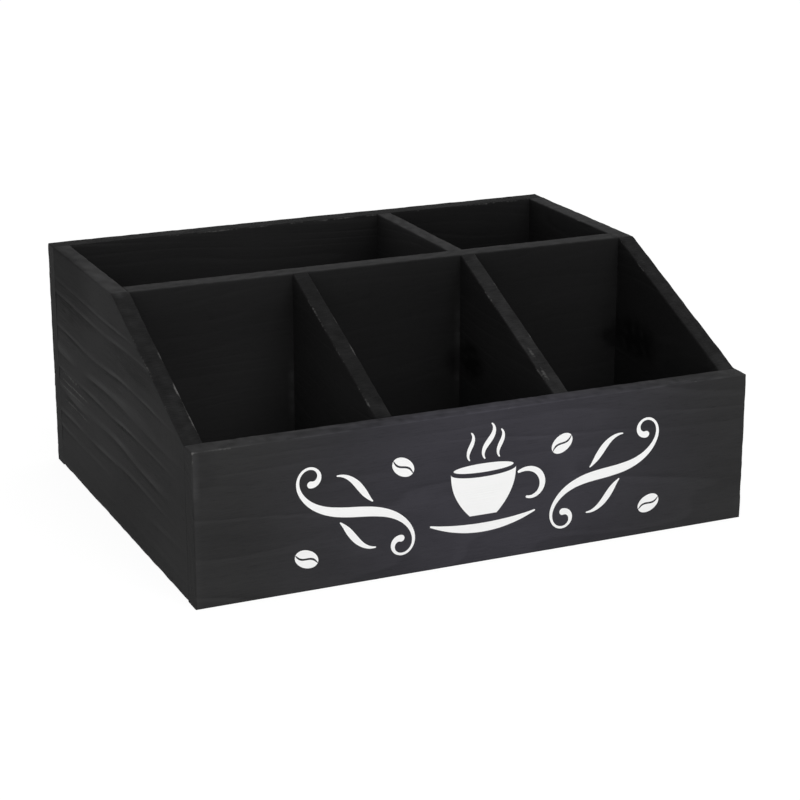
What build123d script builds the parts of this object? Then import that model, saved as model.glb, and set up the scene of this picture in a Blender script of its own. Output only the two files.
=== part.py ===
from build123d import *
import os

# Coffee station organizer: an open wooden caddy of glued and nailed boards. Behind are one wide and one
# narrow compartment, in front of them three equal ones behind a low front board, between sloping sides.
# Millimetres. X runs from left to right, Y from front to back and Z up. The origin is the middle of the
# underside.

# The whole caddy
caddy_width = 305.0
caddy_depth = 241.0
back_height = 127.0
front_height = 80.0

# The compartments, measured clear between the boards
front_bay_depth = 109.0
wide_bay_width = 185.0

# The boards
front_board_thickness = 12.0
back_board_thickness = 12.0
partition_thickness = 12.0
side_thickness = 10.0
front_divider_thickness = 9.0
rear_divider_thickness = 9.0
base_thickness = 5.0
edge_easing = 0.8

# The nails, all of one kind, with their heads sunk below the board that they are driven through
brad_length = 30.0
brad_shank_radius = 0.6
brad_head_radius = 1.0
brad_head_height = 1.0
brad_point_length = 1.6
brad_sinking = 0.5
brad_hole_clearance = 0.02

# Where the nails stand, as shares of the height or length of the board that they hold
low_board_nail_shares = (0.3, 0.75)
tall_board_nail_shares = (0.2, 0.5, 0.8)
partition_nail_shares = (0.3, 0.7)
divider_base_nail_shares = (0.33, 0.67)
partition_base_nail_shares = (0.12, 0.38, 0.62, 0.88)

# Ways that a nail's head can face
TO_FRONT = (0, -1, 0)
TO_BACK = (0, 1, 0)
TO_LEFT = (-1, 0, 0)
TO_RIGHT = (1, 0, 0)
DOWN = (0, 0, -1)

# Places worked out from the sizes
left_x = -caddy_width / 2
right_x = caddy_width / 2
left_inner_x = left_x + side_thickness
right_inner_x = right_x - side_thickness
inner_width = right_inner_x - left_inner_x
front_y = -caddy_depth / 2
front_bay_y = front_y + front_board_thickness
partition_y = front_bay_y + front_bay_depth
rear_bay_y = partition_y + partition_thickness
back_y = caddy_depth / 2
back_board_y = back_y - back_board_thickness
rear_bay_depth = back_board_y - rear_bay_y
inner_depth = back_board_y - front_bay_y
front_bay_width = (inner_width - 2 * front_divider_thickness) / 3
front_divider_left_x = left_inner_x + front_bay_width
front_divider_right_x = right_inner_x - front_bay_width - front_divider_thickness
rear_divider_x = left_inner_x + wide_bay_width

# Middles of the boards and compartments, which the nails line up with
left_side_middle_x = left_x + side_thickness / 2
right_side_middle_x = right_x - side_thickness / 2
front_divider_middles_x = [
    front_divider_left_x + front_divider_thickness / 2,
    front_divider_right_x + front_divider_thickness / 2,
]
rear_divider_middle_x = rear_divider_x + rear_divider_thickness / 2
front_bay_middles_x = [
    left_inner_x + front_bay_width / 2,
    (left_inner_x + right_inner_x) / 2,
    right_inner_x - front_bay_width / 2,
]
partition_middle_y = partition_y + partition_thickness / 2
bay_row_middles_y = [front_bay_y + front_bay_depth / 2, rear_bay_y + rear_bay_depth / 2]
base_middle_z = base_thickness / 2


def nail_place(x, y, z, outward):
    """Point on a board's outer face where a nail goes in, turned so that its head faces outward."""
    return Plane(origin=(x, y, z), z_dir=outward).location


def upward_edges(board, across):
    """Edges around the board's top and slope, without those that run straight across it."""
    upward_faces = board.faces().filter_by(lambda face: face.normal_at().Z > 0)
    return upward_faces.edges().filter_by(across, reverse=True)


# Nail places, one list for each board that the nails are driven through
front_board_nails = [
    nail_place(x, front_y, share * front_height, TO_FRONT)
    for x in [left_side_middle_x, *front_divider_middles_x, right_side_middle_x]
    for share in low_board_nail_shares
]
front_board_nails += [nail_place(x, front_y, base_middle_z, TO_FRONT) for x in front_bay_middles_x]
back_board_nails = [
    nail_place(x, back_y, share * back_height, TO_BACK)
    for x in [left_side_middle_x, rear_divider_middle_x, right_side_middle_x]
    for share in tall_board_nail_shares
]
back_board_nails += [nail_place(x, back_y, base_middle_z, TO_BACK) for x in front_bay_middles_x]
left_side_nails = [
    nail_place(left_x, partition_middle_y, share * back_height, TO_LEFT) for share in tall_board_nail_shares
]
left_side_nails += [nail_place(left_x, y, base_middle_z, TO_LEFT) for y in bay_row_middles_y]
right_side_nails = [
    nail_place(right_x, partition_middle_y, share * back_height, TO_RIGHT) for share in tall_board_nail_shares
]
right_side_nails += [nail_place(right_x, y, base_middle_z, TO_RIGHT) for y in bay_row_middles_y]
partition_nails = [
    nail_place(x, rear_bay_y, share * back_height, TO_BACK)
    for x in front_divider_middles_x
    for share in partition_nail_shares
]
base_to_partition_nails = [
    nail_place(left_inner_x + share * inner_width, partition_middle_y, 0, DOWN)
    for share in partition_base_nail_shares
]
base_to_front_divider_nails = [
    nail_place(x, front_bay_y + share * front_bay_depth, 0, DOWN)
    for x in front_divider_middles_x
    for share in divider_base_nail_shares
]
base_to_rear_divider_nails = [
    nail_place(rear_divider_middle_x, rear_bay_y + share * rear_bay_depth, 0, DOWN)
    for share in divider_base_nail_shares
]
base_panel_nails = base_to_partition_nails + base_to_front_divider_nails + base_to_rear_divider_nails

# Holes that the nails leave, the same on every board
shank_hole_radius = brad_shank_radius + brad_hole_clearance
head_hole_radius = brad_head_radius + brad_hole_clearance
head_hole_depth = brad_sinking + brad_head_height
nail_hole_depth = brad_sinking + brad_length + brad_hole_clearance

os.makedirs("parts", exist_ok=True)

# Front board: low, across the whole width, over the front ends of the sides
with BuildPart() as front_board:
    with BuildSketch(Plane.XY):
        with Locations((0, front_y)):
            Rectangle(caddy_width, front_board_thickness, align=(Align.CENTER, Align.MIN))
    extrude(amount=front_height)
    front_face_edges = front_board.faces().sort_by(Axis.Y)[0].edges()
    top_face_edges = front_board.faces().sort_by(Axis.Z)[-1].edges()
    inner_top_edges = top_face_edges.sort_by(Axis.Y)[1:]
    fillet(front_face_edges + inner_top_edges, radius=edge_easing)
    with Locations(*front_board_nails):
        CounterBoreHole(shank_hole_radius, head_hole_radius, head_hole_depth, nail_hole_depth)
front_board.part.label = "front_board"
export_step(front_board.part, "parts/front_board.step")

# Back board: full height, across the whole width, over the rear ends of the sides
with BuildPart() as back_board:
    with BuildSketch(Plane.XY):
        with Locations((0, back_y)):
            Rectangle(caddy_width, back_board_thickness, align=(Align.CENTER, Align.MAX))
    extrude(amount=back_height)
    rear_face_edges = back_board.faces().sort_by(Axis.Y)[-1].edges()
    top_face_edges = back_board.faces().sort_by(Axis.Z)[-1].edges()
    inner_top_edges = top_face_edges.sort_by(Axis.Y)[:-1]
    fillet(rear_face_edges + inner_top_edges, radius=edge_easing)
    with Locations(*back_board_nails):
        CounterBoreHole(shank_hole_radius, head_hole_radius, head_hole_depth, nail_hole_depth)
back_board.part.label = "back_board"
export_step(back_board.part, "parts/back_board.step")

# Left side: between the front and back boards, level behind and sloping from the partition to the front
with BuildPart() as left_side:
    with BuildSketch(Plane.YZ.offset(left_x)):
        with BuildLine():
            Polyline(
                (front_bay_y, 0),
                (back_board_y, 0),
                (back_board_y, back_height),
                (partition_y, back_height),
                (front_bay_y, front_height),
                close=True,
            )
        make_face()
    extrude(amount=side_thickness)
    outer_bottom_edge = left_side.faces().sort_by(Axis.X)[0].edges().sort_by(Axis.Z)[0]
    fillet(upward_edges(left_side, Axis.X) + [outer_bottom_edge], radius=edge_easing)
    with Locations(*left_side_nails):
        CounterBoreHole(shank_hole_radius, head_hole_radius, head_hole_depth, nail_hole_depth)
    with Locations(*front_board_nails, *back_board_nails):
        Hole(shank_hole_radius, nail_hole_depth)
left_side.part.label = "left_side"
export_step(left_side.part, "parts/left_side.step")

# Right side: the left one mirrored
with BuildPart() as right_side:
    mirror(left_side.part, about=Plane.YZ)
right_side.part.label = "right_side"
export_step(right_side.part, "parts/right_side.step")

# Base panel: thin, inside the four outer boards and level with their lower edges
with BuildPart() as base_panel:
    with BuildSketch(Plane.XY):
        with Locations((0, front_bay_y)):
            Rectangle(inner_width, inner_depth, align=(Align.CENTER, Align.MIN))
    extrude(amount=base_thickness)
    with Locations(*base_panel_nails):
        CounterBoreHole(shank_hole_radius, head_hole_radius, head_hole_depth, nail_hole_depth)
    with Locations(*front_board_nails, *back_board_nails, *left_side_nails, *right_side_nails):
        Hole(shank_hole_radius, nail_hole_depth)
base_panel.part.label = "base_panel"
export_step(base_panel.part, "parts/base_panel.step")

# Partition: full height between the sides, on the base
with BuildPart() as partition:
    with BuildSketch(Plane.XY.offset(base_thickness)):
        with Locations((0, partition_y)):
            Rectangle(inner_width, partition_thickness, align=(Align.CENTER, Align.MIN))
    extrude(amount=back_height - base_thickness)
    fillet(upward_edges(partition, Axis.Y), radius=edge_easing)
    with Locations(*partition_nails):
        CounterBoreHole(shank_hole_radius, head_hole_radius, head_hole_depth, nail_hole_depth)
    with Locations(*left_side_nails, *right_side_nails, *base_to_partition_nails):
        Hole(shank_hole_radius, nail_hole_depth)
partition.part.label = "partition"
export_step(partition.part, "parts/partition.step")


def front_divider(divider_x, name):
    """Divider between the front board and the partition, its top in line with the slope of the sides."""
    with BuildPart() as divider:
        with BuildSketch(Plane.YZ.offset(divider_x)):
            with BuildLine():
                Polyline(
                    (front_bay_y, base_thickness),
                    (partition_y, base_thickness),
                    (partition_y, back_height),
                    (front_bay_y, front_height),
                    close=True,
                )
            make_face()
        extrude(amount=front_divider_thickness)
        fillet(upward_edges(divider, Axis.X), radius=edge_easing)
        with Locations(*front_board_nails, *partition_nails, *base_to_front_divider_nails):
            Hole(shank_hole_radius, nail_hole_depth)
    divider.part.label = name
    export_step(divider.part, f"parts/{name}.step")


front_divider(front_divider_left_x, "front_divider_left")
front_divider(front_divider_right_x, "front_divider_right")

# Rear divider: full height between the partition and the back board
with BuildPart() as rear_divider:
    with BuildSketch(Plane.YZ.offset(rear_divider_x)):
        with Locations((rear_bay_y, base_thickness)):
            Rectangle(rear_bay_depth, back_height - base_thickness, align=(Align.MIN, Align.MIN))
    extrude(amount=rear_divider_thickness)
    fillet(upward_edges(rear_divider, Axis.X), radius=edge_easing)
    with Locations(*back_board_nails, *base_to_rear_divider_nails):
        Hole(shank_hole_radius, nail_hole_depth)
rear_divider.part.label = "rear_divider"
export_step(rear_divider.part, "parts/rear_divider.step")

# One nail: a round head, a shank and a point, standing head up with the board's face at Z = 0
head_top_z = -brad_sinking
shank_top_z = head_top_z - brad_head_height
point_tip_z = head_top_z - brad_length
point_base_z = point_tip_z + brad_point_length
with BuildPart() as brad:
    with BuildSketch(Plane.XZ):
        with BuildLine():
            Polyline(
                (0, head_top_z),
                (brad_head_radius, head_top_z),
                (brad_head_radius, shank_top_z),
                (brad_shank_radius, shank_top_z),
                (brad_shank_radius, point_base_z),
                (0, point_tip_z),
                close=True,
            )
        make_face()
    revolve(axis=Axis.Z)


def brad_group(places, name):
    """All the nails that are driven through one board, as separate solids."""
    with BuildPart() as group:
        with Locations(*places):
            add(brad.part)
    group.part.label = name
    export_step(group.part, f"parts/{name}.step")


brad_group(front_board_nails, "front_board_brads")
brad_group(back_board_nails, "back_board_brads")
brad_group(left_side_nails, "left_side_brads")
brad_group(right_side_nails, "right_side_brads")
brad_group(partition_nails, "partition_brads")
brad_group(base_panel_nails, "base_panel_brads")
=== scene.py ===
# %% [markdown]
# # A coffee caddy in black-stained boards
#
# This lesson dresses a small wooden caddy. Its boards are drawn to size in a CAD model, which is loaded
# as a fixed frame. Each board is modelled again with brushed grain and sanded edges, and takes the
# plain one's place. Blender's unit is the metre.

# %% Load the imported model
import math

import bmesh
import bpy
import numpy as np
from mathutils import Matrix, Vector


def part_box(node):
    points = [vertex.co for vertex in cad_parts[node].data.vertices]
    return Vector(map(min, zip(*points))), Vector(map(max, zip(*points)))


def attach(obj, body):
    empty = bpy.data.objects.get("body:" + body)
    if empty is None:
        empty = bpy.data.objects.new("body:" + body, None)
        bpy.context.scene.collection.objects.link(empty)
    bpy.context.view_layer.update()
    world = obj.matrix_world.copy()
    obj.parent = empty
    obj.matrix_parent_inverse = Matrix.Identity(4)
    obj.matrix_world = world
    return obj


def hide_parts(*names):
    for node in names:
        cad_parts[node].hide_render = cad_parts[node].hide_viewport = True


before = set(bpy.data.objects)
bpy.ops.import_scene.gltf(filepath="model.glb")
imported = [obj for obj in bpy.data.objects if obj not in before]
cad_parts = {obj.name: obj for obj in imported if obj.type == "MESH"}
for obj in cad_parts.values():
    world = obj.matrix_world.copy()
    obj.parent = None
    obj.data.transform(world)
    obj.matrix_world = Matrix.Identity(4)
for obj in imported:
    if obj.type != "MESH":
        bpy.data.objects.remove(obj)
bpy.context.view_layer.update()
MM = 0.001
X, Y, Z = 0, 1, 2
print("nodes:", ", ".join(sorted(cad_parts)))

# %% [markdown]
# ## The camera
#
# The photograph was taken with a long lens, from the front left and a little above. The camera's place,
# its two angles and its lens were worked out from the corners of the boards.

# %% Set up the camera
CAMERA_PLACE = (-0.4621, -1.0486, 0.4202)
TURNED_RIGHT = math.radians(24.16)
TILTED_DOWN = math.radians(17.89)
LENS_MM = 99.3

camera_data = bpy.data.cameras.new("camera")
camera_data.lens = LENS_MM
camera = bpy.data.objects.new("camera", camera_data)
camera.location = CAMERA_PLACE
camera.rotation_euler = (math.pi / 2 - TILTED_DOWN, 0, -TURNED_RIGHT)
bpy.context.collection.objects.link(camera)
bpy.context.scene.camera = camera
bpy.context.scene.view_settings.view_transform = "Standard"
print("camera at", CAMERA_PLACE)

# %% [markdown]
# ## Selecting, as by hand
#
# Every operator works on what is selected, so each step starts by deselecting everything. In edit mode,
# faces and edges are picked by their place, as a hand does with the mouse.

# %% Helpers for selecting
def deselect_all():
    """Leaves nothing selected, in object mode."""
    if bpy.context.object and bpy.context.object.mode != "OBJECT":
        bpy.ops.object.mode_set(mode="OBJECT")
    bpy.ops.object.select_all(action="DESELECT")


def pick(piece, mode="OBJECT"):
    """Selects one piece, and goes into a mode on it."""
    deselect_all()
    piece.select_set(True)
    bpy.context.view_layer.objects.active = piece
    bpy.ops.object.mode_set(mode=mode)


def select(piece, kind, chosen):
    """Selects the faces or the edges that pass the test, and returns how many they are."""
    bpy.ops.mesh.select_all(action="DESELECT")
    bpy.ops.mesh.select_mode(type=kind)
    mesh = bmesh.from_edit_mesh(piece.data)
    found = [part for part in (mesh.faces if kind == "FACE" else mesh.edges) if chosen(part)]
    for part in found:
        part.select_set(True)
    bmesh.update_edit_mesh(piece.data)
    return len(found)


# %% [markdown]
# ## A sawn blank
#
# Each board starts as a cube with the board's own size and place, read from the frame. Four boards slope
# down to the front. There the cube is cut at the crease, where the slope begins, and its upper front
# edge is lowered. A saw cut along the slope would cross the grid, and leave no clean edge to round.

# %% Saw the blank
FRONT_BOARD_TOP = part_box("front_board")[1].z
CREASE_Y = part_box("partition")[0].y
CLOSE_BY = 1.0 * MM


def sawn_blank(name, node):
    """A cube with the size and place of a node."""
    low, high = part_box(node)
    deselect_all()
    bpy.ops.mesh.primitive_cube_add(size=1, location=(low + high) / 2)
    blank = bpy.context.object
    blank.name = blank.data.name = name
    blank.scale = high - low
    bpy.ops.object.transform_apply(location=True, rotation=True, scale=True)
    return blank


def cut(blank, place, normal, chosen=lambda face: True):
    """Cuts the chosen faces with a plane, as with one stroke of a saw that leaves both parts."""
    select(blank, "FACE", chosen)
    bpy.ops.mesh.bisect(plane_co=place, plane_no=normal)


def saw_slope(blank, low, high):
    """Lowers the top front edge to the front board's height."""
    def top_front(edge):
        return all(end.co.y < low.y + CLOSE_BY and end.co.z > high.z - CLOSE_BY for end in edge.verts)

    if CREASE_Y < high.y - CLOSE_BY:
        cut(blank, (0, CREASE_Y, 0), (0, 1, 0))
    select(blank, "EDGE", top_front)
    bpy.ops.transform.translate(value=(0, 0, FRONT_BOARD_TOP - high.z))


# %% [markdown]
# ## Loops beside the edges, and a fine grid between them
#
# A loop is cut one millimetre inside every edge, so that the later rounding stays small and even. Then
# the long edges are divided. Wood changes slowly along its grain and quickly across it, so the steps
# are long one way and, for the brushed ridges, under a millimetre the other way.

# %% Cut the loops and the grid
LOOP = 1.0 * MM
ALONG_GRAIN = 2.5 * MM
ACROSS_GRAIN = 0.75 * MM
THROUGH_BOARD = 1.0 * MM
STRAIGHT_ENOUGH = 0.9
HAIR = 0.1 * MM


def edge_loops(blank, low, high, sloping):
    """Cuts a loop beside each edge of the board, also below its slope."""
    for axis in (X, Y, Z):
        normal = Vector((axis == X, axis == Y, axis == Z))
        cut(blank, low + normal * LOOP, normal)
        if not (sloping and axis == Z):
            cut(blank, high - normal * LOOP, normal)
    if sloping:
        crease = (0, CREASE_Y, high.z - LOOP)
        cut(blank, crease, slope_normal(low, high), before_crease)
        cut(blank, crease, (0, 0, 1), lambda face: not before_crease(face))


def before_crease(face):
    """Whether a face lies on the sloping part of a board."""
    return face.calc_center_median().y < CREASE_Y - HAIR


def slope_normal(low, high):
    """The way that a board's slope faces: forwards and up."""
    return Vector((0, FRONT_BOARD_TOP - high.z, CREASE_Y - low.y)).normalized()


def divide(blank, axis, step):
    """Divides the long edges that run along one axis into steps of about the given length."""
    def length(edge):
        return abs(edge.verts[0].co[axis] - edge.verts[1].co[axis])

    def long_and_along(edge):
        return length(edge) > max(2 * LOOP, STRAIGHT_ENOUGH * edge.calc_length())

    select(blank, "EDGE", long_and_along)
    mesh = bmesh.from_edit_mesh(blank.data)
    longest = max(length(edge) for edge in mesh.edges if edge.select)
    bpy.ops.mesh.subdivide(number_cuts=round(longest / step))


def divide_all(blank, grain, across, low, high):
    """Divides a board along its grain, across it and through its thickness."""
    thin = min((X, Y, Z), key=lambda axis: high[axis] - low[axis])
    for axis in (X, Y, Z):
        step = ALONG_GRAIN if axis == grain else THROUGH_BOARD if axis == thin else across
        divide(blank, axis, step)


# %% [markdown]
# ## Eased edges
#
# The edges that a hand touches are sanded a little round, by a bevel of a few narrow steps. An edge
# belongs to the two outer faces that it lies on, so it is named by them, such as the top and the front.

# %% Name the outer faces, and round the edges between two of them
EASING = 0.8 * MM
EASING_STEPS = 4
SAME_PLACE = 0.01 * MM


def outer_faces(low, high, sloping):
    """Each outer face of a board: a point on it, and the way that it faces."""
    faces = {
        "left": (low, Vector((-1, 0, 0))), "right": (high, Vector((1, 0, 0))),
        "front": (low, Vector((0, -1, 0))), "rear": (high, Vector((0, 1, 0))),
        "bottom": (low, Vector((0, 0, -1))), "top": (high, Vector((0, 0, 1))),
    }
    if sloping:
        faces["slope"] = (Vector((0, CREASE_Y, high.z)), slope_normal(low, high))
    return faces


def lies_on(spot, face):
    """Whether a spot lies on an outer face."""
    point, normal = face
    return abs((spot - point).dot(normal)) < SAME_PLACE


def ease(blank, faces, pairs):
    """Rounds the edges between the named pairs of outer faces, and returns how many they were."""
    def eased(edge):
        return any(all(lies_on(end.co, faces[name]) for name in pair for end in edge.verts) for pair in pairs)

    count = select(blank, "EDGE", eased)
    bpy.ops.mesh.bevel(offset=EASING, segments=EASING_STEPS, affect="EDGES")
    return count


# %% [markdown]
# ## Nothing in wood is quite even
#
# Rings, brushing, stain and wear all waver a little. Each is a sum of waves in random directions, drawn
# from a seed, so that each run gives the same boards. Noise nodes couldn't move the mesh as well.

# %% Unevenness
WAVES = 14
LONGEST_WAVE, SHORTEST_WAVE = 0.6, 1.8
DRAWS = (
    "first way", "second way", "ring", "fibres", "planing", "sanding", "rubbing", "ragged", "figure",
    "blotches", "years",
)


def along(grain, size):
    """Three sizes from two: the length along the grain, and the width for both other ways."""
    length, width = size
    return [length if axis == grain else width for axis in (X, Y, Z)]


def uneven(places, tree, draw, waves):
    """A smooth random number from about -2 to 2 at each place, from waves with sizes in millimetres."""
    sizes = np.array(along(tree["grain"], waves)) * MM
    random = np.random.default_rng(tree["seed"] + DRAWS.index(draw))
    total = np.zeros(len(places))
    for _ in range(WAVES):
        way = random.normal(size=3)
        way *= random.uniform(LONGEST_WAVE, SHORTEST_WAVE) / np.linalg.norm(way)
        total += np.sin(places @ (2 * math.pi * way / sizes) + random.uniform(0, 2 * math.pi))
    return total / math.sqrt(WAVES / 2)


def varied(places, tree, draw, waves, mean, change, least, most):
    """A share that wavers about its mean, and is kept between its limits."""
    return (mean + change * uneven(places, tree, draw, waves)).clip(least, most)


# %% [markdown]
# ## How the rings of a tree cross a board
#
# A board is a slice of a trunk, and its streaks are where the slice crosses the yearly rings. So the
# pattern needs no drawing: a point's ring is its distance from the middle of the trunk, divided by the
# width of a ring. The trunk leans a little against the board, is never quite round, and had good and
# bad years. Within a ring the wood starts soft, stays even for most of the year, and ends hard.

# %% Rings
OUT_OF_ROUND = 0.8 * MM
UNEVEN_RING = 0.25
TRUNK_WAVES = (150, 28)
GOOD_AND_BAD_YEARS = 0.2
YEAR_WAVES = (2000, 30)
SOFT_TO_HARD = ((0.0, 0.0), (0.10, 0.05), (0.24, 0.34), (0.66, 0.40), (0.82, 1.0), (0.93, 0.9), (1.0, 0.0))


def rings(places, tree):
    """How many rings a place is away from the middle of the trunk."""
    others = [axis for axis in (X, Y, Z) if axis != tree["grain"]]
    waver = tree.get("waver", 1.0)
    away = []
    for number, axis in enumerate(others):
        middle = tree["middle"][number] * MM + tree["lean"][number] * places[:, tree["grain"]]
        shift = OUT_OF_ROUND * waver * uneven(places, tree, DRAWS[number], TRUNK_WAVES)
        away.append(places[:, axis] - middle + shift)
    ring = np.hypot(*away) / (tree["ring"] * MM)
    ring += UNEVEN_RING * waver * uneven(places, tree, "ring", TRUNK_WAVES)
    return ring + GOOD_AND_BAD_YEARS * uneven(places, tree, "years", YEAR_WAVES)


def hardness(ring):
    """How hard the wood is at each part of a ring, from 0 to 1."""
    return np.interp(ring - np.floor(ring), *zip(*SOFT_TO_HARD))


# %% [markdown]
# ## Spots, and how clearly the rings show
#
# Here and there the rings of a board are faint or strong. Such a part is a spot: its middle, its reach
# along the three axes, and a number that says what it does. Stain, painted light and shade, rubbing and
# scratches use spots too.

# %% Spots and figure
SPOT_ENDS_AT = 1.25
FIGURE = {"draw": "figure", "waves": (80, 14), "mean": 1, "change": 0.55, "least": 0.05, "most": 2}


def near(places, spot, reach):
    """1 at the middle of a spot, falling softly to 0 at its edge; spot and reach are in millimetres."""
    away = np.linalg.norm((places / MM - np.array(spot)) / np.array(reach), axis=1)
    share = np.clip(SPOT_ENDS_AT - away, 0, 1)
    return share * share * (3 - 2 * share)


def figure_shown(places, tree):
    """How clearly the rings show at each point."""
    figure = tree["figure"] * varied(places, tree, **FIGURE)
    for spot, reach, times in tree.get("streaks", ()):
        share = near(places, spot, reach)
        figure *= 1 - share + share * times
    return figure


# %% [markdown]
# ## Brushing, planing and sanding
#
# The boards were brushed before they were stained. That takes away some of the soft wood, and leaves
# the hard part of each ring as a low ridge, with rougher fibres where the rings are strong. So every
# point moves inwards by a hair, and the board keeps its size. A glued end reaches a little into the
# next board, so that no light shows through the joint.

# %% Brush a board
BRUSHED = 0.07 * MM
FIBRE = 0.03 * MM
HAND_PLANED = 0.09 * MM
EDGE_SANDED = 0.22 * MM
SMOOTHEST, ROUGHER_WITH_FIGURE = 0.65, 0.6
FIBRES = {"draw": "fibres", "waves": (40, 1.6), "mean": 1, "change": 0.5, "least": 0, "most": 2}
PLANING = {"draw": "planing", "waves": (120, 45), "mean": 0.5, "change": 0.25, "least": 0, "most": 1}
SANDING = {"draw": "sanding", "waves": (9, 9), "mean": 0.6, "change": 0.4, "least": 0, "most": 2}


def brush(places, inwards, ring, figure, close, tree):
    """Where the points lie after brushing, planing and sanding."""
    depth = BRUSHED * figure * (1 - hardness(ring))
    depth += FIBRE * (SMOOTHEST + ROUGHER_WITH_FIGURE * figure) * varied(places, tree, **FIBRES)
    depth += HAND_PLANED * varied(places, tree, **PLANING)
    depth += EDGE_SANDED * close * varied(places, tree, **SANDING)
    return places + inwards * depth[:, None]


# %% Tell how far the outer faces and edges are, and glue the ends
GLUED, FLUSH = 0.35 * MM, 0.0
RUBBED_WIDTH = 1.6 * MM


def read(mesh, name):
    """The places or the normals of all points of a mesh, as rows of three numbers."""
    numbers = np.empty(len(mesh.vertices) * 3, dtype=np.float32)
    mesh.vertices.foreach_get(name, numbers)
    return numbers.reshape(-1, 3).astype(float)


def depth_under(places, face):
    """How deep each place lies under an outer face."""
    point, normal = face
    return (np.array(point) - places) @ np.array(normal)


def edge_closeness(places, faces, pairs):
    """1 on an eased edge, and 0 from a rubbed width away."""
    closest = np.zeros(len(places))
    for pair in pairs:
        depth = np.max([np.abs(depth_under(places, faces[name])) for name in pair], axis=0)
        closest = np.maximum(closest, 1 - depth / RUBBED_WIDTH)
    return closest


def glue(places, moved, faces, held):
    """Puts the points of held faces back into their plane, or a little past it."""
    for name, past in held.items():
        on_it = np.abs(depth_under(places, faces[name])) < SAME_PLACE
        normal = np.array(faces[name][1])
        moved[on_it] += ((places[on_it] - moved[on_it]) @ normal + past)[:, None] * normal


# %% [markdown]
# ## What the stain, the hand and painted light left
#
# Five things about each point are kept in attributes that the material reads later: its ring, how
# clearly the rings show there, how light it is, how far it is rubbed bare or painted with an edge
# highlight, and whether it lies on a slope, which still has its saw marks. How light a point is holds
# the stain and painted light and shade: each face is painted lighter or darker for how light falls on
# it, and the compartments darkest. End grain drinks more stain, and gets darker and blotchy. The walls
# of a compartment are painted lighter towards its floor, which takes out some of the shade down there.

# %% Keep the finish of each point
def keep(mesh, **finish):
    """Stores numbers or colours for all points, by name, for the material to read."""
    for name, numbers in finish.items():
        kind, field = ("FLOAT_COLOR", "color") if numbers.ndim == 2 else ("FLOAT", "value")
        attribute = mesh.attributes.new(name, kind, "POINT")
        attribute.data.foreach_set(field, numbers.astype(np.float32).ravel())


def on_face(places, face):
    """1 on an outer face, falling to 0 where the rounding of its edges ends."""
    return np.clip(1 - np.abs(depth_under(places, face)) / EASING, 0, 1)


# %% Stain, wear and painted light
BAY_DEPTH = 110 * MM
BLOTCHY, BLOTCH_LIMITS = {"top": 0.14, "slope": 0.12}, (0.5, 1.6)
RAGGED_BELOW, RAGGED = 40, 0.35
PATCHES = (9, 9)
TOUCHED = {"draw": "rubbing", "waves": (14, 14), "mean": -0.18, "change": 0.22, "least": 0, "most": 0.4}
# Along the rubs: wear and painted edge highlights together.
RUBBED_AND_HIGHLIT = {"draw": "rubbing", "waves": (14, 14), "mean": 0.8, "change": 0.2, "least": 0.3, "most": 1.1}


def stain_taken(places, faces, face_shade_and_stain, tree):
    """Stain and painted light and shade, as a colour to multiply with; two tones are a bay's top and floor.
    """
    colour = np.ones((len(places), 4))
    # Towards a compartment's floor the walls are painted lighter, which takes out some of the shade there.
    height = np.clip(places[:, Z] / BAY_DEPTH, 0, 1)
    blotches = uneven(places, tree, "blotches", PATCHES)
    # Each face is painted lighter or darker for the light that falls on it; end grain is darker stain.
    for name, tone in face_shade_and_stain.items():
        share = on_face(places, faces[name])
        high, low = tone if isinstance(tone, tuple) else (tone, tone)
        lightness = (low + (high - low) * height) * (1 + BLOTCHY.get(name, 0) * blotches).clip(*BLOTCH_LIMITS)
        colour[:, :3] *= (1 - share + share * lightness)[:, None]
    # The spots paint shade into corners and bays, highlights along some lines, and stain elsewhere.
    for spot, reach, tone in tree.get("painted_light_and_stain_spots", ()):
        share = near(places, spot, reach)
        if max(reach) < RAGGED_BELOW:
            share *= 1 + RAGGED * uneven(places, tree, "ragged", PATCHES)
        share = share.clip(0, 1)[:, None]
        colour[:, :3] *= 1 - share + share * np.array(tone)
    return colour


def wear_left(places, close, tree):
    """Faint rubbed patches on all eased edges, and lighter lines in some spots, partly wear and partly
    painted highlights.
    """
    wear = close * varied(places, tree, **TOUCHED)
    on_edges = varied(places, tree, **RUBBED_AND_HIGHLIT) * np.sqrt(close)
    # The rubs are worn edges that are also painted highlights along them.
    for spot, reach, strength in tree.get("rubs_and_highlights", ()):
        wear = np.maximum(wear, strength * on_edges * near(places, spot, reach))
    for spot, reach, strength in tree.get("scratches", ()):
        wear = np.maximum(wear, strength * near(places, spot, reach))
    return wear


# %% [markdown]
# ## Node trees, in words
#
# A material is a tree of small steps. One helper adds a node, and others add what comes back again and
# again, such as noise that is stretched along the grain.

# %% Helpers for node trees
MIX_FACTOR, MIX_FIRST, MIX_SECOND, MIX_RESULT = 0, 6, 7, 2


def new_material(name):
    """A material with only a Principled shader, which is returned with its node tree."""
    material = bpy.data.materials.new(name)
    material.use_nodes = True
    return material, material.node_tree, material.node_tree.nodes["Principled BSDF"]


def add_node(nodes, kind, inputs=(), **settings):
    """Adds a node, sets its options, and links or sets its inputs by name or number."""
    node = nodes.nodes.new("ShaderNode" + kind)
    for name, value in settings.items():
        setattr(node, name, value)
    for key, value in dict(inputs).items():
        if isinstance(value, bpy.types.NodeSocket):
            nodes.links.new(value, node.inputs[key])
        else:
            node.inputs[key].default_value = value
    return node


def maths(nodes, operation, *numbers):
    """One step of arithmetic."""
    return add_node(nodes, "Math", dict(enumerate(numbers)), operation=operation).outputs[0]


def kept(nodes, name, output="Fac"):
    """What each point of a board keeps under a name."""
    return add_node(nodes, "Attribute", attribute_name=name).outputs[output]


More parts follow.
